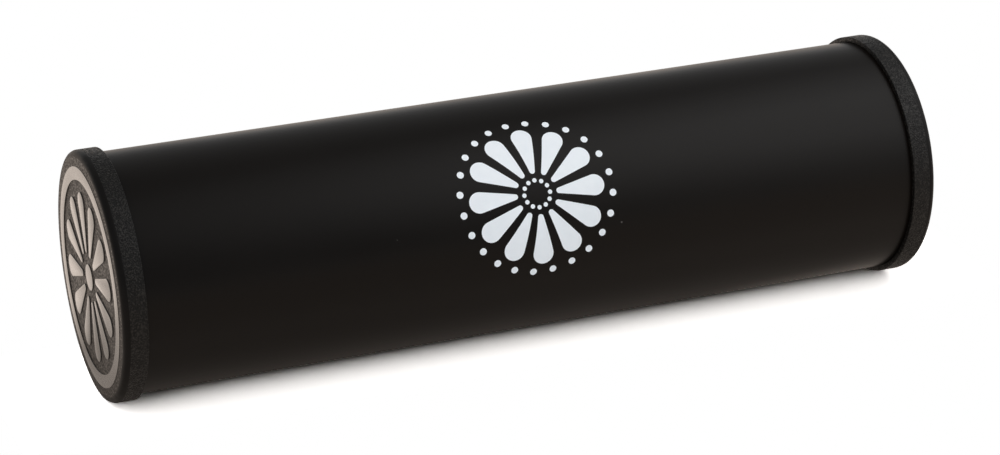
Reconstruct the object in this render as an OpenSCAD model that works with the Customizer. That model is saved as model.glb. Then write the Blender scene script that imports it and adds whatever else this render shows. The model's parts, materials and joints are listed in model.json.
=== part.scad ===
// Ganza shaker: a metal tube closed by two moulded push-on caps, part filled with steel shot.
// The tube lies along X, as on a table, and the origin is the middle of its axis.

/* [Tube] */
// Length of the whole shaker, from one end face to the other
overall_l = 228.6; // [150:0.1:320]
// Outer diameter of the tube
tube_od = 63.5; // [58:0.1:80]
// Wall of the tube
tube_wall = 1.5; // [1:0.1:2]
// Chamfer that breaks the edges of the tube's cut ends
tube_edge = 0.3; // [0.1:0.05:0.4]

/* [End caps] */
// How far the skirt stands proud of the tube, all round
cap_proud = 1.4; // [1:0.05:2.5]
// Length of a cap that shows, from its end face to the rim of its skirt
cap_l = 6.6; // [5:0.1:12]
// Thickness of the end wall behind the relief
cap_web = 2.6; // [1.5:0.1:3.5]
// Clearance between the tube and the cap, inside and outside
cap_fit = 0.05; // [0.02:0.01:0.1]
// Rounding of the corner between end face and skirt
cap_corner_r = 1.6; // [0.5:0.05:2]
// Rounding of the rim of the skirt
cap_rim_r = 0.15; // [0.1:0.05:0.8]
// How far the spigot reaches into the tube
spigot_l = 8; // [4:0.5:15]
// Wall of the spigot
spigot_wall = 1.6; // [1:0.1:2.5]
// Chamfer that leads the spigot into the tube
spigot_lead = 0.6; // [0.2:0.1:0.9]

/* [End face] */
// Height of the raised land and of the motif above the textured field inside the land
relief_h = 0.3; // [0.2:0.05:0.8]
// Height of the land above the border that runs round outside it
land_step = 0.12; // [0.12:0.01:0.3]
// Outer diameter of the raised land that the shaker stands on
land_od = 58; // [56:0.1:58.8]
// Width of that land
land_w = 3.5; // [2:0.1:5]
// Chamfer along both edges of the land
land_edge = 0.1; // [0.05:0.01:0.1]
// Diameter of the boss in the middle of the motif
boss_d = 7; // [4:0.1:9]
// Distance from the axis to the inner end of a ray
ray_inner_r = 6.5; // [5.5:0.1:9]
// Distance from the axis to the outer end of a ray
ray_outer_r = 22.5; // [18:0.1:23]
// Width of a ray at its inner end
ray_inner_w = 1.8; // [1:0.1:2.2]
// Width of a ray at its outer end
ray_outer_w = 6; // [3:0.1:7]
// Rays in the motif
ray_count = 12; // [6:1:14]

/* [Shot] */
// Diameter of one steel ball
shot_d = 4.5; // [3:0.1:5]
// Space between two balls of one row
shot_gap = 0.1; // [0.05:0.01:0.5]
// Space between two rows, and between a row and what it lies on or stops against
row_gap = 0.25; // [0.15:0.01:0.5]
// Balls in each row that slides from end to end
row_balls = 24; // [8:1:26]

/* [Hidden] */

// Facets that a preview draws on a large round and on one ball
$fn = 160;
shot_facets = 32;
// Steps in which a rounding's quarter circle is drawn
arc_steps = 8;

// Tube
tube_r = tube_od / 2;
bore_r = tube_r - tube_wall;
tube_l = overall_l - 2 * (relief_h + cap_web);

// Caps: distances along a cap's axis run from the top of its land into the shaker
cap_r = tube_r + cap_proud;
skirt_bore_r = tube_r + cap_fit;
spigot_r = bore_r - cap_fit;
spigot_bore_r = spigot_r - spigot_wall;
seat_z = relief_h + cap_web;
spigot_end_z = seat_z + spigot_l;
land_r = land_od / 2;
land_inner_r = land_r - land_w;

// Rays: the centres of the round ends, and how far out on them the straight sides start
ray_inner_end_r = ray_inner_w / 2;
ray_outer_end_r = ray_outer_w / 2;
ray_inner_x = ray_inner_r + ray_inner_end_r;
ray_outer_x = ray_outer_r - ray_outer_end_r;
ray_side_share = 0.96;

// Rows of shot lie side by side along the bottom of the tube, in three layers.
// Each row of a higher layer lies in the valley between two rows of the layer below.
// The lowest rows are spread so far that the rows lying in their valleys are one row_step apart.
shot_step = shot_d + shot_gap;
row_step = shot_d + row_gap;
low_r = bore_r - row_gap - shot_d / 2;
valley_half_angle = atan(1 / (2 * low_r / row_step - sqrt(3)));
mid_r = row_step / (2 * sin(valley_half_angle));
top_r = mid_r * cos(valley_half_angle) - row_step * cos(30);
row_angle = 2 * valley_half_angle;
low_rows = 8;
mid_rows = 6;
top_rows = 2;
// The row at the very bottom fills the tube from spigot to spigot
keel_room = overall_l - 2 * spigot_end_z - 2 * row_gap;
keel_balls = floor((keel_room - shot_d) / shot_step) + 1;

// Points of a quarter circle about (x, y), from one angle to the other
function quarter(x, y, r, from, to) = [
    for (i = [0 : arc_steps])
        let (a = from + (to - from) * i / arc_steps)
        [x + r * cos(a), y + r * sin(a)]
];

// Turns a profile of radius against length about the X axis
module turned_along_x() {
    rotate([0, 90, 0])
        rotate_extrude()
            children();
}

module tube() {
    half_l = tube_l / 2;
    color("#1c1a19")
        turned_along_x()
            polygon([
                [bore_r + tube_edge, -half_l],
                [tube_r - tube_edge, -half_l],
                [tube_r, -half_l + tube_edge],
                [tube_r, half_l - tube_edge],
                [tube_r - tube_edge, half_l],
                [bore_r + tube_edge, half_l],
                [bore_r, half_l - tube_edge],
                [bore_r, -half_l + tube_edge]
            ]);
}

// Skirt, end wall, spigot and raised land in one moulding, less the motif
module cap_profile() {
    polygon(concat(
        [
            [0, relief_h],
            [land_inner_r, relief_h],
            [land_inner_r, land_edge],
            [land_inner_r + land_edge, 0],
            [land_r - land_edge, 0],
            [land_r, land_edge],
            [land_r, land_step]
        ],
        quarter(cap_r - cap_corner_r, land_step + cap_corner_r, cap_corner_r, -90, 0),
        quarter(cap_r - cap_rim_r, cap_l - cap_rim_r, cap_rim_r, 0, 90),
        [
            [skirt_bore_r, cap_l],
            [skirt_bore_r, seat_z],
            [spigot_r, seat_z],
            [spigot_r, spigot_end_z - spigot_lead],
            [spigot_r - spigot_lead, spigot_end_z],
            [spigot_bore_r, spigot_end_z],
            [spigot_bore_r, seat_z],
            [0, seat_z]
        ]
    ));
}

// One ray: two round ends joined by straight sides that spread outwards
module ray() {
    inner_side = ray_side_share * ray_inner_end_r;
    outer_side = ray_side_share * ray_outer_end_r;
    translate([ray_inner_x, 0])
        circle(r = ray_inner_end_r, $fn = shot_facets);
    translate([ray_outer_x, 0])
        circle(r = ray_outer_end_r, $fn = shot_facets);
    polygon([
        [ray_inner_x, inner_side],
        [ray_inner_x, -inner_side],
        [ray_outer_x, -outer_side],
        [ray_outer_x, outer_side]
    ]);
}

// The motif starts inside the end wall, so that it is one solid with it
module motif() {
    linear_extrude(relief_h + cap_web / 2) {
        circle(d = boss_d);
        for (i = [0 : ray_count - 1])
            rotate(360 * (i + 0.5) / ray_count)
                ray();
    }
}

// A cap with its end face at the origin, pointing along X into the shaker
module cap() {
    color("#171615") {
        turned_along_x()
            cap_profile();
        rotate([0, 90, 0])
            motif();
    }
}

module left_cap() {
    translate([-overall_l / 2, 0, 0])
        cap();
}

module right_cap() {
    mirror([1, 0, 0])
        left_cap();
}

// A row of touching balls, r from the axis and turned by a from straight down
module shot_row(r, a, balls) {
    color("silver")
        for (i = [0 : balls - 1])
            translate([
                (i - (balls - 1) / 2) * shot_step,
                r * sin(a),
                -r * cos(a)
            ])
                sphere(d = shot_d, $fn = shot_facets);
}

module shot_keel() {
    shot_row(low_r, 0, keel_balls);
}

// Rows 1 to 4 lie on one side of the keel row, and 5 to 8 on the other
module shot_low(n) {
    lane = n <= low_rows / 2 ? n - 1 - low_rows / 2 : n - low_rows / 2;
    shot_row(low_r, lane * row_angle, row_balls);
}

module shot_mid(n) {
    shot_row(mid_r, (n - (mid_rows + 1) / 2) * row_angle, row_balls);
}

// The two rows on top lie one valley away from the middle
module shot_top(n) {
    shot_row(top_r, (n == 1 ? -1 : 1) * row_angle, row_balls);
}

tube();
left_cap();
right_cap();
shot_keel();
for (n = [1 : low_rows]) shot_low(n);
for (n = [1 : mid_rows]) shot_mid(n);
for (n = [1 : top_rows]) shot_top(n);
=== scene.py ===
# %% [markdown]
# A ganza is a shaker: a metal tube, part filled with steel shot and closed by two push-on caps.
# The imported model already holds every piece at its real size, so this lesson never moves or
# resizes one. It dresses that fixed frame: the tube and the caps get finer meshes with real
# roundings in the same place, the steel balls keep their own mesh, and everything gets a finish.
# All lengths are metres, X runs along the tube, Z is up, and the origin is the middle of the axis.

import json
import math

import bmesh
import bpy
from mathutils import Matrix, Quaternion, Vector


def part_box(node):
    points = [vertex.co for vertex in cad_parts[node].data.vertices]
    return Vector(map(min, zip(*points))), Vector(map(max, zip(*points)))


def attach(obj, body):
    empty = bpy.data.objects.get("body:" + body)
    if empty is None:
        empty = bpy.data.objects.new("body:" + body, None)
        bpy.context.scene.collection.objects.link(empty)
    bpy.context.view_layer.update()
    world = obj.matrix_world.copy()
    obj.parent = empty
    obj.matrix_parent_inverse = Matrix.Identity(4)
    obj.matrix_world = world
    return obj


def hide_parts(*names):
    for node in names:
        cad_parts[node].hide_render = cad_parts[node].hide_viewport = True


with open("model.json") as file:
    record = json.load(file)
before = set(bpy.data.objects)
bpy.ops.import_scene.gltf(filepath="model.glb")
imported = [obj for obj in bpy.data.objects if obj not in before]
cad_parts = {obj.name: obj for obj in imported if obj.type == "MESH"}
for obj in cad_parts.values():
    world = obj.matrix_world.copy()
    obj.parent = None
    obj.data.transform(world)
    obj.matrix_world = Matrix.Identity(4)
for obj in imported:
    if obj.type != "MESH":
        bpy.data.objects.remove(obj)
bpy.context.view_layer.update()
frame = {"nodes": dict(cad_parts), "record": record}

# %% [markdown]
# The driving sizes come from the frame wherever it can give them. The record's grip mount gives
# the tube's radius, the tube's box its length, and a cap's box its radius, the plane of its end
# face and how far its spigot reaches. Walls, roundings and relief are too fine for a box to tell,
# so they are named here once.

# %% Sizes of the real thing
MM = 0.001

tube_low, tube_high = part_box("tube")
cap_low, cap_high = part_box("left_cap")
mounts = {mount["name"]: mount for mount in frame["record"]["mounts"]}
TUBE_R = mounts["tube_grip"]["dims"]["r_mm"] * MM
TUBE_HALF = (tube_high.x - tube_low.x) / 2
CAP_R = (cap_high.z - cap_low.z) / 2
END_X = -cap_low.x
FLOOR_Z = cap_low.z

TUBE_WALL = 1.5 * MM
TUBE_EDGE = 0.3 * MM
BORE_R = TUBE_R - TUBE_WALL

RELIEF_H = 0.3 * MM
SEAT = END_X - TUBE_HALF
SPIGOT_END = cap_high.x + END_X
CAP_L = 6.6 * MM
CAP_FIT = 0.05 * MM
CAP_CORNER_R = 1.6 * MM
CAP_RIM_R = 0.15 * MM
SPIGOT_WALL = 1.6 * MM
SPIGOT_LEAD = 0.6 * MM
LAND_R = 29.0 * MM
LAND_W = 3.5 * MM
LAND_STEP = 0.12 * MM
BOSS_R = 3.5 * MM
RELIEF_EDGE = 0.1 * MM
STEP_EDGE = 0.05 * MM
SMOOTH_L = 1.9 * MM
main_sizes = [round(v / MM, 2) for v in (TUBE_R, CAP_R, END_X)]
print("tube radius, cap radius, half length in mm:", main_sizes)

# %% [markdown]
# Node trees repeat two steps all the time: add a node, then set or link its inputs. One helper
# does both, and it serves shader trees and geometry trees alike. A value that is itself a socket
# is linked, and any other value is written into the input.

# %% Node helpers
def add_node(tree, kind, inputs=None, **settings):
    """Adds a node, sets its properties, and links or sets its inputs."""
    node = tree.nodes.new(kind)
    for name, value in settings.items():
        setattr(node, name, value)
    for key, value in (inputs or {}).items():
        if isinstance(value, bpy.types.NodeSocket):
            tree.links.new(value, node.inputs[key])
        else:
            node.inputs[key].default_value = value
    return node


def calculate(tree, operation, first, second=0.0):
    """A Math node's result."""
    return add_node(tree, "ShaderNodeMath", {0: first, 1: second}, operation=operation).outputs[0]


# %% [markdown]
# Each material starts from the same three nodes: a Principled shader, the output, and Object
# coordinates in metres, so that a noise of scale 1000 has features of about one millimetre.
# What is the same all over a surface is set on the shader's own socket. What varies is linked.

# %% Start a material
def new_material(name, **values):
    """A new Principled material, as (material, its tree, the shader, Object coordinates)."""
    material = bpy.data.materials.new(name)
    material.use_nodes = True
    tree = material.node_tree
    tree.nodes.clear()
    shader = add_node(tree, "ShaderNodeBsdfPrincipled")
    add_node(tree, "ShaderNodeOutputMaterial", {"Surface": shader.outputs["BSDF"]})
    for socket, value in values.items():
        shader.inputs[socket.replace("_", " ")].default_value = value
    place = add_node(tree, "ShaderNodeTexCoord").outputs["Object"]
    return material, tree, shader, place


def noise(tree, place, scale, detail=2.0, roughness=0.5):
    """A noise between 0 and 1, with features of about 1 / scale metres."""
    inputs = {"Vector": place, "Scale": scale, "Detail": detail, "Roughness": roughness}
    return add_node(tree, "ShaderNodeTexNoise", inputs).outputs["Fac"]


def spread(tree, value, low, high, from_low=0.0, from_high=1.0):
    """Maps a value from one range to another, and holds it there."""
    inputs = {
        "Value": value,
        "From Min": from_low,
        "From Max": from_high,
        "To Min": low,
        "To Max": high,
    }
    return add_node(tree, "ShaderNodeMapRange", inputs).outputs["Result"]


def blend_colours(tree, factor, first, second):
    """A colour between two colours. Inputs 6 and 7 are the colour sockets of a Mix node."""
    inputs = {0: factor, 6: first, 7: second}
    return add_node(tree, "ShaderNodeMix", inputs, data_type="RGBA").outputs[2]


def bump(tree, height, strength, distance):
    """A normal that makes height stand out by up to distance metres."""
    inputs = {"Height": height, "Strength": strength, "Distance": distance}
    return add_node(tree, "ShaderNodeBump", inputs).outputs["Normal"]


# %% [markdown]
# The tube's coat is a baked satin black. Seen close it isn't even: the film has a faint orange
# peel a millimetre or two across, its gloss drifts from place to place, and a little dust has
# settled on it. A slow noise gives the drift and a fine one the peel. A speck of dust is the
# middle of a Voronoi cell, and the cell's own random colour decides whether it has one. Inside
# the tube the metal is bare, with the long streaks that drawing leaves, so its noise is
# stretched along X.

# %% Tube coat and bare bore
DUST_CELLS = 75.0
DUST_RADII = (0.012, 0.022)
DUST_CHOICE = 0.62
DRAWN_STRETCH = (12.0, 900.0, 900.0)


def satin_black_coat():
    material, tree, shader, place = new_material("satin_black_coat", IOR=1.215)
    drift = noise(tree, place, 28.0, 3.0)
    peel = noise(tree, place, 900.0, 2.0)
    coat = blend_colours(tree, drift, (0.0018, 0.0010, 0.0006, 1), (0.0028, 0.0018, 0.0012, 1))
    cells = add_node(tree, "ShaderNodeTexVoronoi", {"Vector": place, "Scale": DUST_CELLS})
    speck = spread(tree, cells.outputs["Distance"], 1.0, 0.0, *DUST_RADII)
    chosen = calculate(tree, "GREATER_THAN", cells.outputs["Color"], DUST_CHOICE)
    dust = calculate(tree, "MULTIPLY", speck, chosen)
    coloured = blend_colours(tree, dust, coat, (0.09, 0.085, 0.08, 1))
    tree.links.new(coloured, shader.inputs["Base Color"])
    tree.links.new(spread(tree, drift, 0.30, 0.35, 0.3, 0.7), shader.inputs["Roughness"])
    tree.links.new(bump(tree, peel, 0.10, 0.00004), shader.inputs["Normal"])
    return material


def bare_aluminium():
    material, tree, shader, place = new_material("bare_aluminium", Metallic=1.0)
    drawn = add_node(tree, "ShaderNodeMapping", {"Vector": place, "Scale": DRAWN_STRETCH})
    streaks = noise(tree, drawn.outputs["Vector"], 1.0, 3.0)
    metal = blend_colours(tree, streaks, (0.50, 0.50, 0.51, 1), (0.66, 0.66, 0.66, 1))
    tree.links.new(metal, shader.inputs["Base Color"])
    tree.links.new(spread(tree, streaks, 0.28, 0.42), shader.inputs["Roughness"])
    tree.links.new(bump(tree, streaks, 0.2, 0.00002), shader.inputs["Normal"])
    return material


TUBE_COAT = satin_black_coat()
BARE_METAL = bare_aluminium()
print("finishes of the tube:", TUBE_COAT.name, BARE_METAL.name)

# %% [markdown]
# A cap is black plastic from a mould whose cavity has three finishes. The field round the motif
# and the skirt are spark eroded, and have a fine grain of pits about half a millimetre across.
# The rounding of the corner between them is smooth and dull. The raised land and the motif come
# from polished steel, and mirror the floor at a shallow angle. The grain is two scales of noise
# as bump. Its tips are glossier, and their colour is lightened: a painted glint, standing in for
# light that catches the grain. The field's grain is coarser and glossier than the skirt's, which
# hands rub dull. The polished parts have a coat, because a skin is glossier than what it covers.

# %% Cap plastic, grained, smooth and polished
COARSE_FINENESS = 900.0
COARSE_SHARE = 0.35
PAINTED_GLINT_HEIGHTS = (0.66, 0.90)
GRAIN_DEPTH = 0.00018


def grained_plastic(name, pit_colour, painted_glint_colour, gloss, fineness):
    """Grained plastic of this index of refraction, with pits of 1 / fineness metres."""
    material, tree, shader, place = new_material(name, IOR=gloss)
    pits = noise(tree, place, fineness, 1.0)
    coarse = noise(tree, place, COARSE_FINENESS, 2.0)
    height = calculate(tree, "ADD", pits, calculate(tree, "MULTIPLY", coarse, COARSE_SHARE))
    # The tips of the grain are lightened in colour: a painted glint, where light would catch them.
    painted_glint_tips = spread(tree, height, 0.0, 1.0, *PAINTED_GLINT_HEIGHTS)
    skin = blend_colours(tree, painted_glint_tips, (*pit_colour, 1), (*painted_glint_colour, 1))
    tree.links.new(skin, shader.inputs["Base Color"])
    tree.links.new(spread(tree, height, 0.65, 0.30, 0.50, 0.85), shader.inputs["Roughness"])
    tree.links.new(bump(tree, height, 1.0, GRAIN_DEPTH), shader.inputs["Normal"])
    return material


def smooth_plastic():
    material, tree, shader, place = new_material("smooth_plastic", IOR=1.20)
    drift = noise(tree, place, 220.0, 3.0)
    skin = blend_colours(tree, drift, (0.0014, 0.0010, 0.0008, 1), (0.0030, 0.0024, 0.0020, 1))
    tree.links.new(skin, shader.inputs["Base Color"])
    tree.links.new(spread(tree, drift, 0.38, 0.50, 0.3, 0.7), shader.inputs["Roughness"])
    ripple = noise(tree, place, 1500.0, 2.0)
    tree.links.new(bump(tree, ripple, 0.12, 0.00003), shader.inputs["Normal"])
    return material


def polished_plastic():
    values = {"IOR": 1.45, "Coat_Weight": 1.0, "Coat_Roughness": 0.10, "Coat_IOR": 1.30}
    material, tree, shader, place = new_material("polished_plastic", **values)
    smears = noise(tree, place, 160.0, 4.0)
    scuffs = noise(tree, place, 1800.0, 2.0)
    skin = blend_colours(tree, smears, (0.016, 0.014, 0.012, 1), (0.028, 0.025, 0.022, 1))
    tree.links.new(skin, shader.inputs["Base Color"])
    tree.links.new(spread(tree, smears, 0.14, 0.26, 0.3, 0.7), shader.inputs["Roughness"])
    tree.links.new(bump(tree, scuffs, 0.05, 0.00002), shader.inputs["Normal"])
    return material


# The second colour of each grain is the painted glint on its tips.
FIELD_GRAIN = grained_plastic(
    "grained_field", (0.010, 0.007, 0.005), (0.060, 0.050, 0.040), 1.31, 1900.0
)
SKIRT_GRAIN = grained_plastic(
    "grained_skirt", (0.0010, 0.0008, 0.0006), (0.0180, 0.0160, 0.0140), 1.265, 2400.0
)
SMOOTH = smooth_plastic()
POLISHED = polished_plastic()
cap_finishes = (FIELD_GRAIN, SKIRT_GRAIN, SMOOTH, POLISHED)
print("finishes of a cap:", [material.name for material in cap_finishes])

# %% [markdown]
# The print is a white ink with a trace of blue, laid on by a screen. Its film is thin enough to
# follow the coat, a little uneven in whiteness, and duller than the coat around it.
# The shot is hardened steel, tumbled bright: a metal, with a slight haze of fine scratches.

# %% Ink and steel
def screen_ink():
    material, tree, shader, place = new_material("white_screen_ink", IOR=1.45)
    cover = noise(tree, place, 420.0, 3.0)
    ink = blend_colours(tree, cover, (0.79, 0.84, 0.89, 1), (0.86, 0.90, 0.94, 1))
    tree.links.new(ink, shader.inputs["Base Color"])
    tree.links.new(spread(tree, cover, 0.42, 0.55), shader.inputs["Roughness"])
    tree.links.new(bump(tree, cover, 0.1, 0.00002), shader.inputs["Normal"])
    return material


def tumbled_steel():
    material, tree, shader, place = new_material("tumbled_steel", Metallic=1.0)
    haze = noise(tree, place, 1500.0, 3.0)
    steel = blend_colours(tree, haze, (0.50, 0.49, 0.48, 1), (0.62, 0.61, 0.60, 1))
    tree.links.new(steel, shader.inputs["Base Color"])
    tree.links.new(spread(tree, haze, 0.12, 0.26), shader.inputs["Roughness"])
    tree.links.new(bump(tree, haze, 0.05, 0.00001), shader.inputs["Normal"])
    return material


INK = screen_ink()
STEEL = tumbled_steel()
print("ink and steel:", INK.name, STEEL.name)

# %% [markdown]
# Three geometry trees do all the repeating. Each one is a small machine with named inputs, and
# ends by realizing its instances and setting a material. One helper starts a tree, and the other
# ends it.

# %% Tools for geometry trees
TURN = 2 * math.pi
MERGE_GAP = 0.000001


def new_tree(name, inputs):
    """An empty geometry tree with the named inputs, and (tree, its inputs as sockets)."""
    tree = bpy.data.node_groups.new(name, "GeometryNodeTree")
    for label, kind in {"Geometry": "Geometry", **inputs, "Material": "Material"}.items():
        tree.interface.new_socket(name=label, in_out="INPUT", socket_type="NodeSocket" + kind)
    tree.interface.new_socket(name="Geometry", in_out="OUTPUT", socket_type="NodeSocketGeometry")
    return tree, tree.nodes.new("NodeGroupInput").outputs


def end_tree(tree, given, geometry):
    """Realizes the instances, sets the material and ends the tree."""
    real = add_node(tree, "GeometryNodeRealizeInstances", {"Geometry": geometry})
    dressed = add_node(
        tree, "GeometryNodeSetMaterial", {"Geometry": real.outputs[0], "Material": given["Material"]}
    )
    add_node(tree, "NodeGroupOutput", {"Geometry": dressed.outputs[0]})
    return tree


# %% [markdown]
# The tube and the caps are round, so the first tree is a lathe: it takes the points of a profile,
# makes a grid with one row of vertices for each step of the turn, puts the profile's points in
# every row and turns each row a little further. Merging closes the seam and the poles. A Spin in
# mesh code would do as well, but the tree keeps the number of steps open.

# %% Lathe tree
def lathe_tree():
    tree, given = new_tree("lathe", {"Steps": "Int"})
    size = add_node(
        tree, "GeometryNodeAttributeDomainSize", {"Geometry": given["Geometry"]}, component="MESH"
    )
    count = size.outputs["Point Count"]
    columns = calculate(tree, "ADD", given["Steps"], 1.0)
    grid = add_node(tree, "GeometryNodeMeshGrid", {"Vertices X": columns, "Vertices Y": count})
    index = add_node(tree, "GeometryNodeInputIndex").outputs[0]
    row = calculate(tree, "FLOOR", calculate(tree, "DIVIDE", index, count))
    along = calculate(tree, "SUBTRACT", index, calculate(tree, "MULTIPLY", row, count))
    angle = calculate(tree, "MULTIPLY", calculate(tree, "DIVIDE", row, given["Steps"]), TURN)
    place = add_node(tree, "GeometryNodeInputPosition").outputs[0]
    point = add_node(
        tree,
        "GeometryNodeSampleIndex",
        {"Geometry": given["Geometry"], "Value": place, "Index": along},
        data_type="FLOAT_VECTOR",
    )
    turned = add_node(
        tree,
        "ShaderNodeVectorRotate",
        {"Vector": point.outputs[0], "Angle": angle},
        rotation_type="X_AXIS",
    )
    moved = add_node(
        tree,
        "GeometryNodeSetPosition",
        {"Geometry": grid.outputs["Mesh"], "Position": turned.outputs[0]},
    )
    closed = add_node(
        tree,
        "GeometryNodeMergeByDistance",
        {"Geometry": moved.outputs[0], "Distance": MERGE_GAP},
    )
    return end_tree(tree, given, closed.outputs[0])


LATHE = lathe_tree()

# %% [markdown]
# The second tree repeats one shape round an axis, for the rays of the motif and of the print.
# The third wraps a flat drawing round the tube: a distance along Y becomes an angle.

# %% Repeat tree and wrap tree
def repeat_tree():
    tree, given = new_tree("repeat_round", {"Count": "Int", "Axis": "Vector", "Start": "Float"})
    points = add_node(tree, "GeometryNodePoints", {"Count": given["Count"]})
    index = add_node(tree, "GeometryNodeInputIndex").outputs[0]
    step = calculate(tree, "DIVIDE", TURN, given["Count"])
    angle = calculate(tree, "ADD", calculate(tree, "MULTIPLY", index, step), given["Start"])
    turn = add_node(
        tree, "FunctionNodeAxisAngleToRotation", {"Axis": given["Axis"], "Angle": angle}
    )
    placed = add_node(
        tree,
        "GeometryNodeInstanceOnPoints",
        {"Points": points.outputs[0], "Instance": given["Geometry"], "Rotation": turn.outputs[0]},
    )
    return end_tree(tree, given, placed.outputs[0])


def wrap_tree():
    tree, given = new_tree("wrap_on_tube", {"Radius": "Float", "Middle": "Float"})
    place = add_node(tree, "GeometryNodeInputPosition").outputs[0]
    flat = add_node(tree, "ShaderNodeSeparateXYZ", {0: place}).outputs
    angle = calculate(
        tree, "ADD", calculate(tree, "DIVIDE", flat["Y"], given["Radius"]), given["Middle"]
    )
    reach = calculate(tree, "ADD", given["Radius"], flat["Z"])
    front = calculate(tree, "MULTIPLY", reach, calculate(tree, "COSINE", angle))
    height = calculate(tree, "MULTIPLY", reach, calculate(tree, "SINE", angle))
    back = calculate(tree, "MULTIPLY", front, -1.0)
    round_tube = add_node(tree, "ShaderNodeCombineXYZ", {"X": flat["X"], "Y": back, "Z": height})
    moved = add_node(
        tree,
        "GeometryNodeSetPosition",
        {"Geometry": given["Geometry"], "Position": round_tube.outputs[0]},
    )
    return end_tree(tree, given, moved.outputs[0])


REPEAT = repeat_tree()
WRAP = wrap_tree()
print("geometry trees:", [tree.name for tree in bpy.data.node_groups])

# %% [markdown]
# A tree runs as a modifier, but a finished piece must be a plain mesh. One helper below sets the
# inputs by identifier, and the next swaps all modifiers for what they make. It drops the empty
# material slot that realizing leaves in front of the tree's own, and makes sure that faces point
# outwards: a closed shell with a negative volume is inside out.

# %% From tree to plain mesh
def new_piece(name, points, edges=(), faces=()):
    """An object at the origin with this mesh."""
    mesh = bpy.data.meshes.new(name)
    mesh.from_pydata(points, edges, faces)
    piece = bpy.data.objects.new(name, mesh)
    bpy.context.scene.collection.objects.link(piece)
    return piece


def run_tree(piece, tree, values):
    """Adds the tree to the piece as a modifier, with its inputs set by name."""
    modifier = piece.modifiers.new(tree.name, "NODES")
    modifier.node_group = tree
    for socket in tree.interface.items_tree:
        if socket.in_out == "INPUT" and socket.name in values:
            modifier[socket.identifier] = values[socket.name]


def make_plain(piece):
    """Swaps the piece's modifiers for the mesh that they make, with its faces outwards."""
    depsgraph = bpy.context.evaluated_depsgraph_get()
    mesh = bpy.data.meshes.new_from_object(piece.evaluated_get(depsgraph))
    piece.modifiers.clear()
    piece.data = mesh
    finishes = [material for material in mesh.materials if material]
    mesh.materials.clear()
    for material in finishes:
        mesh.materials.append(material)
    mesh.polygons.foreach_set("material_index", [0] * len(mesh.polygons))
    shape = bmesh.new()
    shape.from_mesh(mesh)
    if shape.calc_volume(signed=True) < 0:
        bmesh.ops.reverse_faces(shape, faces=shape.faces)
    open_edges = sum(not edge.is_manifold for edge in shape.edges)
    shape.to_mesh(mesh)
    shape.free()
    print(piece.name, "faces:", len(mesh.polygons), "open edges:", open_edges, finishes[0].name)


def shade(piece, sharp_above_deg=35.0):
    """Smooth shading that keeps the edges that are really sharp."""
    piece.data.shade_smooth()
    piece.data.set_sharp_from_angle(angle=math.radians(sharp_above_deg))


# %% [markdown]
# Both turned pieces are drawn as a profile of corners, each with the radius that rounds it. A
# corner is replaced by an arc that touches both of its sides, as a fillet on a drawing. It is
# the same helper for the tube's broken edges and for the cap's large outer rounding.

# %% Rounded profiles
FILLET_STEPS = 8
LATHE_STEPS = 256


def filleted(corners):
    """Points of an open line through (x, y, rounding) corners, with an arc at each rounding."""
    points = [Vector(corners[0][:2])]
    for before, corner, after in zip(corners, corners[1:], corners[2:]):
        here = Vector(corner[:2])
        if corner[2] == 0:
            points.append(here)
            continue
        to_before = (Vector(before[:2]) - here).normalized()
        to_after = (Vector(after[:2]) - here).normalized()
        half = to_before.angle(to_after) / 2
        centre = here + (to_before + to_after).normalized() * corner[2] / math.sin(half)
        start = here + to_before * corner[2] / math.tan(half) - centre
        end = here + to_after * corner[2] / math.tan(half) - centre
        sweep = start.angle(end)
        for step in range(FILLET_STEPS + 1):
            share = step / FILLET_STEPS
            weights = math.sin((1 - share) * sweep), math.sin(share * sweep)
            points.append(centre + (start * weights[0] + end * weights[1]) / math.sin(sweep))
    points.append(Vector(corners[-1][:2]))
    return points


def turned_piece(name, corners, material):
    """A piece turned about X from (x, radius, rounding) corners."""
    profile = [(p.x, 0.0, p.y) for p in filleted(corners)]
    piece = new_piece(name, profile)
    run_tree(piece, LATHE, {"Steps": LATHE_STEPS, "Material": material})
    make_plain(piece)
    return piece


# %% [markdown]
# The tube is one closed shell: outside, cut end, bore, other cut end. Its coat covers the outside
# and the cut ends. The bore and the broken edges round it are bare metal, so the faces that lie
# there get the second material.

# %% Tube
def tube_shell():
    middle = (0.0, TUBE_R, 0.0)
    corners = [
        middle,
        (TUBE_HALF, TUBE_R, TUBE_EDGE),
        (TUBE_HALF, BORE_R, TUBE_EDGE),
        (-TUBE_HALF, BORE_R, TUBE_EDGE),
        (-TUBE_HALF, TUBE_R, TUBE_EDGE),
        middle,
    ]
    piece = turned_piece("tube_shell", corners, TUBE_COAT)
    piece.data.materials.append(BARE_METAL)
    for face in piece.data.polygons:
        if face.center.yz.length < BORE_R + TUBE_EDGE:
            face.material_index = 1
    shade(piece)
    return piece


tube = tube_shell()

# %% [markdown]
# A cap is a cup with two walls: the skirt over the tube and the spigot inside it. The profile
# starts on the axis at the top of the boss, crosses the sunk field, climbs over the land, goes
# round the outer corner, and returns along the inside. The depth of a point is measured from the
# end face inwards.

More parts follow.
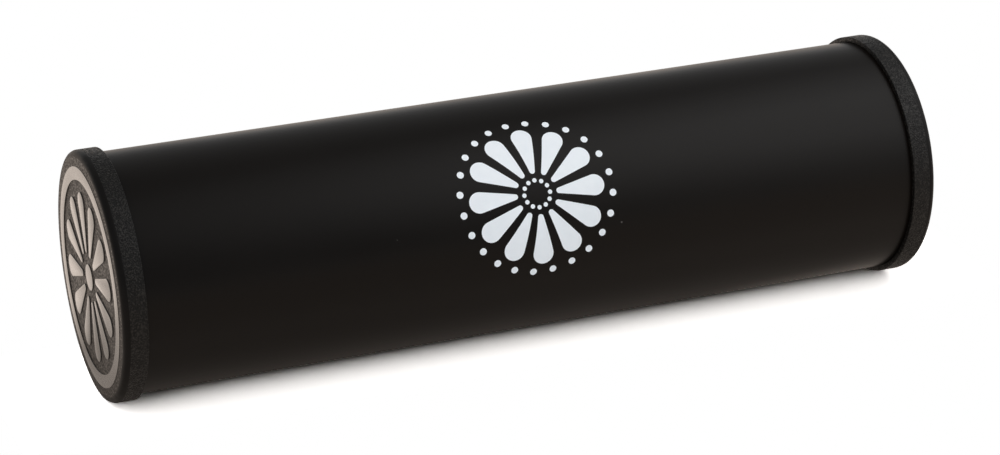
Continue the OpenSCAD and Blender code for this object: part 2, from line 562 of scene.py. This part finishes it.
# %% Cap moulding
def cap_corners():
    """(depth, radius, rounding) corners of the cap."""
    land_inner_r = LAND_R - LAND_W
    skirt_bore_r = TUBE_R + CAP_FIT
    spigot_r = BORE_R - CAP_FIT
    spigot_bore_r = spigot_r - SPIGOT_WALL
    return [
        (0.0, 0.0, 0.0),
        (0.0, BOSS_R, RELIEF_EDGE),
        (RELIEF_H, BOSS_R, RELIEF_EDGE),
        (RELIEF_H, land_inner_r, RELIEF_EDGE),
        (0.0, land_inner_r, RELIEF_EDGE),
        (0.0, LAND_R, STEP_EDGE),
        (LAND_STEP, LAND_R, STEP_EDGE),
        (LAND_STEP, CAP_R, CAP_CORNER_R),
        (SMOOTH_L, CAP_R, 0.0),
        (CAP_L, CAP_R, CAP_RIM_R),
        (CAP_L, skirt_bore_r, RELIEF_EDGE),
        (SEAT, skirt_bore_r, 0.0),
        (SEAT, spigot_r, 0.0),
        (SPIGOT_END, spigot_r, SPIGOT_LEAD),
        (SPIGOT_END, spigot_bore_r, RELIEF_EDGE),
        (SEAT, spigot_bore_r, RELIEF_EDGE),
        (SEAT, 0.0, 0.0),
    ]


# %% [markdown]
# The motif is a sun of twelve rays. One ray is a teardrop: two round ends and the straight sides
# that touch both. It is built as a stack of outlines, each a little smaller near the top, which
# rounds the upper edge as polishing does, and it starts inside the cap, where nothing shows.

# %% Motif
RAY_COUNT = 12
RAY_INNER_R = 6.5 * MM
RAY_OUTER_R = 22.5 * MM
RAY_INNER_W = 1.8 * MM
RAY_OUTER_W = 6.0 * MM
RAY_SUNK = 0.3 * MM
END_STEPS = 16
EDGE_STEPS = 4


def teardrop(inner_end, outer_end, inner_w, outer_w, shrink=0.0):
    """Outline points (along, across) of a teardrop between two distances from the centre."""
    inner_x, outer_x = inner_end + inner_w / 2, outer_end - outer_w / 2
    slope = math.asin((outer_w - inner_w) / 2 / (outer_x - inner_x))
    half = math.pi / 2 + slope
    points = []
    for x, r, start, end in (
        (outer_x, outer_w / 2 - shrink, -half, half),
        (inner_x, inner_w / 2 - shrink, half, TURN - half),
    ):
        for step in range(END_STEPS + 1):
            angle = start + (end - start) * step / END_STEPS
            points.append((x + r * math.cos(angle), r * math.sin(angle)))
    return points


def motif_rays(name):
    """The rays of the left cap's motif, realized as one mesh."""
    levels = [(-RAY_SUNK, 0.0)]
    for step in range(EDGE_STEPS + 1):
        angle = math.pi / 2 * step / EDGE_STEPS
        height = RELIEF_H - RELIEF_EDGE * (1 - math.sin(angle))
        levels.append((height, RELIEF_EDGE * (1 - math.cos(angle))))
    field_x = -END_X + RELIEF_H
    points = []
    for height, shrink in levels:
        outline = teardrop(RAY_INNER_R, RAY_OUTER_R, RAY_INNER_W, RAY_OUTER_W, shrink)
        points += [(field_x - height, across, along) for along, across in outline]
    around = len(points) // len(levels)
    faces = [tuple(range(around)), tuple(range(len(points) - around, len(points)))[::-1]]
    for level in range(len(levels) - 1):
        for step in range(around):
            low, after = level * around + step, level * around + (step + 1) % around
            faces.append((low, low + around, after + around, after))
    ray = new_piece(name, points, (), faces)
    values = {
        "Count": RAY_COUNT,
        "Axis": (1.0, 0.0, 0.0),
        "Start": TURN / RAY_COUNT / 2,
        "Material": POLISHED,
    }
    run_tree(ray, REPEAT, values)
    make_plain(ray)
    return ray


# %% [markdown]
# The two caps are the same moulding. The left one is made, and each of its faces gets the finish
# of its place: how far it lies from the end face and from the axis tells which. The right cap is
# a copy, turned half a turn about Z. That turn is applied to the mesh, so that both objects stay
# at the origin.

# %% Caps
def cap_finish(depth, radius):
    """The slot of a cap's face: 0 grained field, 1 polished, 2 smooth corner, 3 grained skirt."""
    if depth < STEP_EDGE:
        return 1
    if radius < CAP_R - CAP_CORNER_R:
        return 0 if depth < SEAT / 2 else 3
    return 2 if depth < SMOOTH_L else 3


def left_cap_piece():
    corners = [(-END_X + depth, radius, rounding) for depth, radius, rounding in cap_corners()]
    piece = turned_piece("left_cap_moulding", corners, FIELD_GRAIN)
    rays = motif_rays("left_cap_rays")
    for material in (POLISHED, SMOOTH, SKIRT_GRAIN):
        piece.data.materials.append(material)
    for face in piece.data.polygons:
        face.material_index = cap_finish(face.center.x + END_X, face.center.yz.length)
    shape = bmesh.new()
    shape.from_mesh(piece.data)
    turned_faces = len(shape.faces)
    shape.from_mesh(rays.data)
    shape.faces.ensure_lookup_table()
    for face in shape.faces[turned_faces:]:
        face.material_index = 1
    shape.to_mesh(piece.data)
    shape.free()
    bpy.data.objects.remove(rays)
    shade(piece)
    return piece


def right_cap_piece(left):
    piece = bpy.data.objects.new("right_cap_moulding", left.data.copy())
    bpy.context.scene.collection.objects.link(piece)
    piece.data.transform(Matrix.Rotation(math.pi, 4, "Z"))
    return piece


left_cap = left_cap_piece()
right_cap = right_cap_piece(left_cap)

# %% [markdown]
# The print is near the middle of the tube, a third of the way round from its front to its top.
# It is drawn flat first: one ray as a strip of small quads, because only small faces can follow
# the tube, and three dots, two outside the ray and one inside. Then two trees repeat the unit
# twelve times and wrap the disc round the tube, and Solidify gives the ink its thickness.

# %% Print
PRINT_MIDDLE = math.radians(32.4)
PRINT_ALONG = -0.6 * MM
PRINT_RAY_INNER_R = 5.4 * MM
PRINT_RAY_OUTER_R = 18.9 * MM
PRINT_RAY_INNER_W = 1.5 * MM
PRINT_RAY_OUTER_W = 5.6 * MM
PRINT_DOT_RING_R = 21.1 * MM
PRINT_DOT_R = 0.95 * MM
PRINT_SEED_RING_R = 3.6 * MM
PRINT_SEED_R = 0.6 * MM
INK_THICKNESS = 0.03 * MM
STRIP_STEPS = 40
STRIP_ACROSS = 6
DOT_STEPS = 20


def half_width(along, inner_x, inner_r, outer_x, outer_r):
    """Half the width of a teardrop at a distance along it."""
    slope = (outer_r - inner_r) / (outer_x - inner_x)
    inner_touch, outer_touch = inner_x - inner_r * slope, outer_x - outer_r * slope
    if along < inner_touch:
        return math.sqrt(max(inner_r**2 - (along - inner_x) ** 2, 0.0))
    if along > outer_touch:
        return math.sqrt(max(outer_r**2 - (along - outer_x) ** 2, 0.0))
    edge = math.sqrt(1 - slope**2)
    share = (along - inner_touch) / (outer_touch - inner_touch)
    return edge * (inner_r + (outer_r - inner_r) * share)


def strip(shape):
    """Adds the flat ray to the shape as rows of quads, with the ends closed by merging."""
    inner_r, outer_r = PRINT_RAY_INNER_W / 2, PRINT_RAY_OUTER_W / 2
    inner_x, outer_x = PRINT_RAY_INNER_R + inner_r, PRINT_RAY_OUTER_R - outer_r
    rows = []
    for step in range(STRIP_STEPS + 1):
        share = (1 - math.cos(math.pi * step / STRIP_STEPS)) / 2
        along = PRINT_RAY_INNER_R + (PRINT_RAY_OUTER_R - PRINT_RAY_INNER_R) * share
        half = half_width(along, inner_x, inner_r, outer_x, outer_r)
        across = [half * (2 * n / STRIP_ACROSS - 1) for n in range(STRIP_ACROSS + 1)]
        rows.append([shape.verts.new((y, along, 0.0)) for y in across])
    for first, second in zip(rows, rows[1:]):
        for n in range(STRIP_ACROSS):
            shape.faces.new((first[n], first[n + 1], second[n + 1], second[n]))


def dot(shape, angle, ring_r, radius):
    """Adds a flat dot to the shape, on a ring and turned by angle from the ray."""
    middle = Vector((ring_r * math.sin(angle), ring_r * math.cos(angle), 0.0))
    turns = [TURN * step / DOT_STEPS for step in range(DOT_STEPS)]
    rim = [middle + Vector((math.cos(a), math.sin(a), 0.0)) * radius for a in turns]
    shape.faces.new([shape.verts.new(point) for point in rim])


def printed_sun():
    piece = new_piece("printed_sun", [])
    shape = bmesh.new()
    strip(shape)
    quarter = TURN / RAY_COUNT / 4
    dot(shape, -quarter, PRINT_DOT_RING_R, PRINT_DOT_R)
    dot(shape, quarter, PRINT_DOT_RING_R, PRINT_DOT_R)
    dot(shape, 0.0, PRINT_SEED_RING_R, PRINT_SEED_R)
    bmesh.ops.remove_doubles(shape, verts=shape.verts, dist=MERGE_GAP)
    shape.to_mesh(piece.data)
    shape.free()
    ring = {"Count": RAY_COUNT, "Axis": (0.0, 0.0, 1.0), "Start": 0.0, "Material": INK}
    run_tree(piece, REPEAT, ring)
    run_tree(piece, WRAP, {"Radius": TUBE_R, "Middle": PRINT_MIDDLE, "Material": INK})
    film = piece.modifiers.new("film", "SOLIDIFY")
    film.thickness = INK_THICKNESS
    film.offset = 1.0
    make_plain(piece)
    piece.data.transform(Matrix.Translation((PRINT_ALONG, 0.0, 0.0)))
    shade(piece)
    return piece


sun = printed_sun()

# %% [markdown]
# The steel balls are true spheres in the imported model, so their nodes stay and only get the
# steel. The meshes made above stand for the tube and the caps, and ride on the same body.

# %% Dress the frame
for name, node in frame["nodes"].items():
    if name.startswith("shot_"):
        node.data.materials.clear()
        node.data.materials.append(STEEL)

for piece, node, slot in (
    (tube, "tube", "tube_coat"),
    (left_cap, "left_cap", "cap_plastic"),
    (right_cap, "right_cap", "cap_plastic"),
):
    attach(piece, "shell")
    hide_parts(node)
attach(sun, "shell")
print("pieces on the shell:", [piece.name for piece in (tube, left_cap, right_cap, sun)])

# %% [markdown]
# The studio is a light tent on a white table. The table is white paper, and the light that the
# object gets back from it is that of plain paper. What the camera sees of it is burnt out, as in
# a catalogue photograph: close to the object it is brightened, so that only the deepest part of
# the shadow is left, and further away it is simply white. Mirrors see the table as a glowing
# sheet, in a warmer tone, with a painted shadow: the glow is dimmed towards the object. The
# painted shadow is darkest under the tube, and a little lighter past the left end and towards
# the right cap, chosen to match the photograph. Each four of the floor's MIRRORED values is two
# strengths of that glow and the two places where they hold. The places are distances from the
# axis for the front, distances from the middle for the ends, and X for left and right. Where
# they differ, the largest strength counts.

# %% Floor
FLOOR_HALF = 3.0
PAPER = (0.90, 0.90, 0.90, 1.0)
BURNT_PAPER = (3.05, 2.96, 2.90, 1.0)
WHITE = (1.0, 1.0, 1.0, 1.0)
WARM_WHITE = (1.0, 0.865, 0.76, 1.0)
SHADOW_FRONT = 0.016
SHADOW_END = 0.128
SHADOW_FADE = 0.012
MIRRORED_PAINTED_SHADE_FRONT = (0.0, 1.0, 0.0052, 0.054)
MIRRORED_PAINTED_SHADE_END = (0.0, 1.0, 0.1089, 0.142)
MIRRORED_PAINTED_SHADE_LEFT = (0.38, 0.14, -0.1143, -0.1125)
MIRRORED_PAINTED_SHADE_RIGHT = (0.14, 0.40, 0.05, 0.105)


def pale_floor():
    material = bpy.data.materials.new("white_paper")
    material.use_nodes = True
    tree = material.node_tree
    tree.nodes.clear()
    spot = add_node(tree, "ShaderNodeTexCoord").outputs["Object"]
    across = add_node(tree, "ShaderNodeSeparateXYZ", {0: spot}).outputs
    along_x = calculate(tree, "ABSOLUTE", across["X"])
    along_y = calculate(tree, "ABSOLUTE", across["Y"])
    past_end = spread(tree, along_x, 0.0, 1.0, SHADOW_END, SHADOW_END + SHADOW_FADE)
    past_front = spread(tree, along_y, 0.0, 1.0, SHADOW_FRONT, SHADOW_FRONT + SHADOW_FADE)
    clear = calculate(tree, "MAXIMUM", past_end, past_front)
    # Painted shadow for mirrors: the strength of their glow falls towards the object.
    painted_shade_end = spread(tree, along_x, *MIRRORED_PAINTED_SHADE_END)
    painted_shade_far = calculate(tree, "MAXIMUM", painted_shade_end, spread(tree, along_y, *MIRRORED_PAINTED_SHADE_FRONT))
    painted_shade_left = spread(tree, across["X"], *MIRRORED_PAINTED_SHADE_LEFT)
    painted_shade_near = calculate(tree, "MAXIMUM", painted_shade_left, spread(tree, across["X"], *MIRRORED_PAINTED_SHADE_RIGHT))
    painted_shade_shine = calculate(tree, "MAXIMUM", painted_shade_far, painted_shade_near)
    ray = add_node(tree, "ShaderNodeLightPath").outputs
    camera = ray["Is Camera Ray"]
    mirror = calculate(tree, "MAXIMUM", ray["Is Glossy Ray"], ray["Is Transmission Ray"])
    lit_colour = blend_colours(tree, camera, PAPER, BURNT_PAPER)
    white_colour = blend_colours(tree, mirror, WHITE, WARM_WHITE)
    # Mirrors get the painted shadow as the glow's strength; the camera gets a strength of 1.
    strength = add_node(tree, "ShaderNodeMix", {0: mirror, 2: 1.0, 3: painted_shade_shine}).outputs[0]
    lit = add_node(tree, "ShaderNodeBsdfDiffuse", {"Color": lit_colour}).outputs[0]
    glow = {"Color": white_colour, "Strength": strength}
    white = add_node(tree, "ShaderNodeEmission", glow).outputs[0]
    share = calculate(tree, "ADD", mirror, calculate(tree, "MULTIPLY", camera, clear))
    shown = add_node(tree, "ShaderNodeMixShader", {0: share, 1: lit, 2: white})
    add_node(tree, "ShaderNodeOutputMaterial", {"Surface": shown.outputs[0]})
    sides = ((-1, -1), (1, -1), (1, 1), (-1, 1))
    corners = [(x * FLOOR_HALF, y * FLOOR_HALF, FLOOR_Z) for x, y in sides]
    floor = new_piece("floor", corners, (), [(0, 1, 2, 3)])
    floor.data.materials.append(material)


pale_floor()

# %% [markdown]
# The world is the tent, and it is seen in three ways. The camera sees it white. Diffuse rays get
# its light, which comes mostly from the front and the left, and from some thirty degrees up:
# that gives the shaker a dark contact line and a short soft shadow. Black gloss shows what it
# mirrors, and nothing else gives it shape, so mirror-like rays see the tent as it is: white at
# table height, and dimmer above, more so at the back. The light sets in between the two angles
# of LIGHT_STARTS, in radians above the front of the table. It is LIGHT_LOW strong there and
# falls to LIGHT_HIGH at LIGHT_LEVELS_OFF. MIRRORED_UPPER is two strengths with the headings
# along Y where they hold, and MIRRORED_LOW is the share of the white, with headings along Z.

# %% Tent
LIGHT_LOW = 2.7
LIGHT_HIGH = 0.82
LIGHT_STARTS = (0.50, 0.56)
LIGHT_LEVELS_OFF = 1.05
LEFT_BIAS = 0.8
MIRRORED_UPPER = (0.55, 0.40, 0.0, 0.4)
MIRRORED_LOW = (1.0, 0.0, 0.02, 0.12)


def light_tent():
    world = bpy.data.worlds.new("light_tent")
    bpy.context.scene.world = world
    world.use_nodes = True
    tree = world.node_tree
    tree.nodes.clear()
    direction = add_node(tree, "ShaderNodeTexCoord").outputs["Generated"]
    heading = add_node(tree, "ShaderNodeSeparateXYZ", {0: direction}).outputs
    climb = calculate(tree, "ARCTAN2", heading["Z"], calculate(tree, "MULTIPLY", heading["Y"], -1.0))
    risen = spread(tree, climb, 0.0, 1.0, *LIGHT_STARTS)
    strength = spread(tree, climb, LIGHT_LOW, LIGHT_HIGH, LIGHT_STARTS[1], LIGHT_LEVELS_OFF)
    sideways = spread(tree, heading["X"], 1 + LEFT_BIAS, 0.0, -1.0, 1 / LEFT_BIAS)
    light = calculate(tree, "MULTIPLY", calculate(tree, "MULTIPLY", risen, strength), sideways)
    upper = spread(tree, heading["Y"], *MIRRORED_UPPER)
    low = spread(tree, heading["Z"], *MIRRORED_LOW)
    mirrored = add_node(tree, "ShaderNodeMix", {0: low, 2: upper, 3: 1.0}).outputs[0]
    ray = add_node(tree, "ShaderNodeLightPath").outputs
    mirror = calculate(tree, "MAXIMUM", ray["Is Glossy Ray"], ray["Is Transmission Ray"])
    lit = add_node(tree, "ShaderNodeMix", {0: mirror, 2: light, 3: mirrored}).outputs[0]
    shown = add_node(tree, "ShaderNodeMix", {0: ray["Is Camera Ray"], 2: lit, 3: 1.0}).outputs[0]
    tent = add_node(tree, "ShaderNodeBackground", {"Color": (1, 1, 1, 1), "Strength": shown})
    add_node(tree, "ShaderNodeOutputWorld", {"Surface": tent.outputs[0]})


light_tent()

# %% [markdown]
# The highlight along the top of the tube is the image of a softbox close by on the right. A
# softbox is brightest in the middle, so it is three discs, one behind the other, that only
# mirror-like rays see: the tent already holds its diffuse light. A disc of area A glows with a
# radiance of L at a power of pi * A * L.

# %% Softbox
SOFTBOX_TOWARDS = Vector((0.255, -0.13, 0.284)).normalized()
SOFTBOX_DISTANCE = 0.40
SOFTBOX_DEPTH = 0.01
SOFTBOX_DISCS = ((0.15, 0.8), (0.27, 0.7), (0.42, 0.5))


def softbox_disc(number, radius, radiance):
    data = bpy.data.lights.new(f"softbox_{number}", "AREA")
    data.shape = "DISK"
    data.size = 2 * radius
    data.energy = (math.pi * radius) ** 2 * radiance
    disc = bpy.data.objects.new(data.name, data)
    disc.location = SOFTBOX_TOWARDS * (SOFTBOX_DISTANCE + number * SOFTBOX_DEPTH)
    disc.rotation_euler = (-SOFTBOX_TOWARDS).to_track_quat("-Z", "Y").to_euler()
    disc.visible_diffuse = False
    disc.visible_camera = False
    bpy.context.scene.collection.objects.link(disc)


for number, (radius, radiance) in enumerate(SOFTBOX_DISCS):
    softbox_disc(number, radius, radiance)

# %% [markdown]
# The camera stands where the photograph was taken from: to the left of the middle and some
# twenty-five degrees above the table, with a long lens, and rolled by less than half a degree.
# It looks straight at the aim point and its shift stays at zero, so any other view can move it
# freely.

# %% Camera
CAMERA_AZIMUTH = math.radians(-21.53)
CAMERA_ELEVATION = math.radians(25.45)
CAMERA_DISTANCE = 0.8743
CAMERA_AIM = Vector((-0.00038, 0.0, -0.00473))
CAMERA_LENS = 116.40
CAMERA_ROLL = math.radians(0.43)
SENSOR_WIDTH = 36.0


def photo_camera():
    data = bpy.data.cameras.new("photo_camera")
    data.lens = CAMERA_LENS
    data.sensor_width = SENSOR_WIDTH
    back = Vector((
        math.sin(CAMERA_AZIMUTH) * math.cos(CAMERA_ELEVATION),
        -math.cos(CAMERA_AZIMUTH) * math.cos(CAMERA_ELEVATION),
        math.sin(CAMERA_ELEVATION),
    ))
    camera = bpy.data.objects.new("photo_camera", data)
    camera.location = CAMERA_AIM + back * CAMERA_DISTANCE
    upright = (-back).to_track_quat("-Z", "Y")
    camera.rotation_euler = (upright @ Quaternion((0.0, 0.0, 1.0), CAMERA_ROLL)).to_euler()
    bpy.context.scene.collection.objects.link(camera)
    bpy.context.scene.camera = camera


photo_camera()
bpy.context.scene.view_settings.view_transform = "Standard"
print("camera:", bpy.context.scene.camera.name, "view:", math.degrees(CAMERA_AZIMUTH))
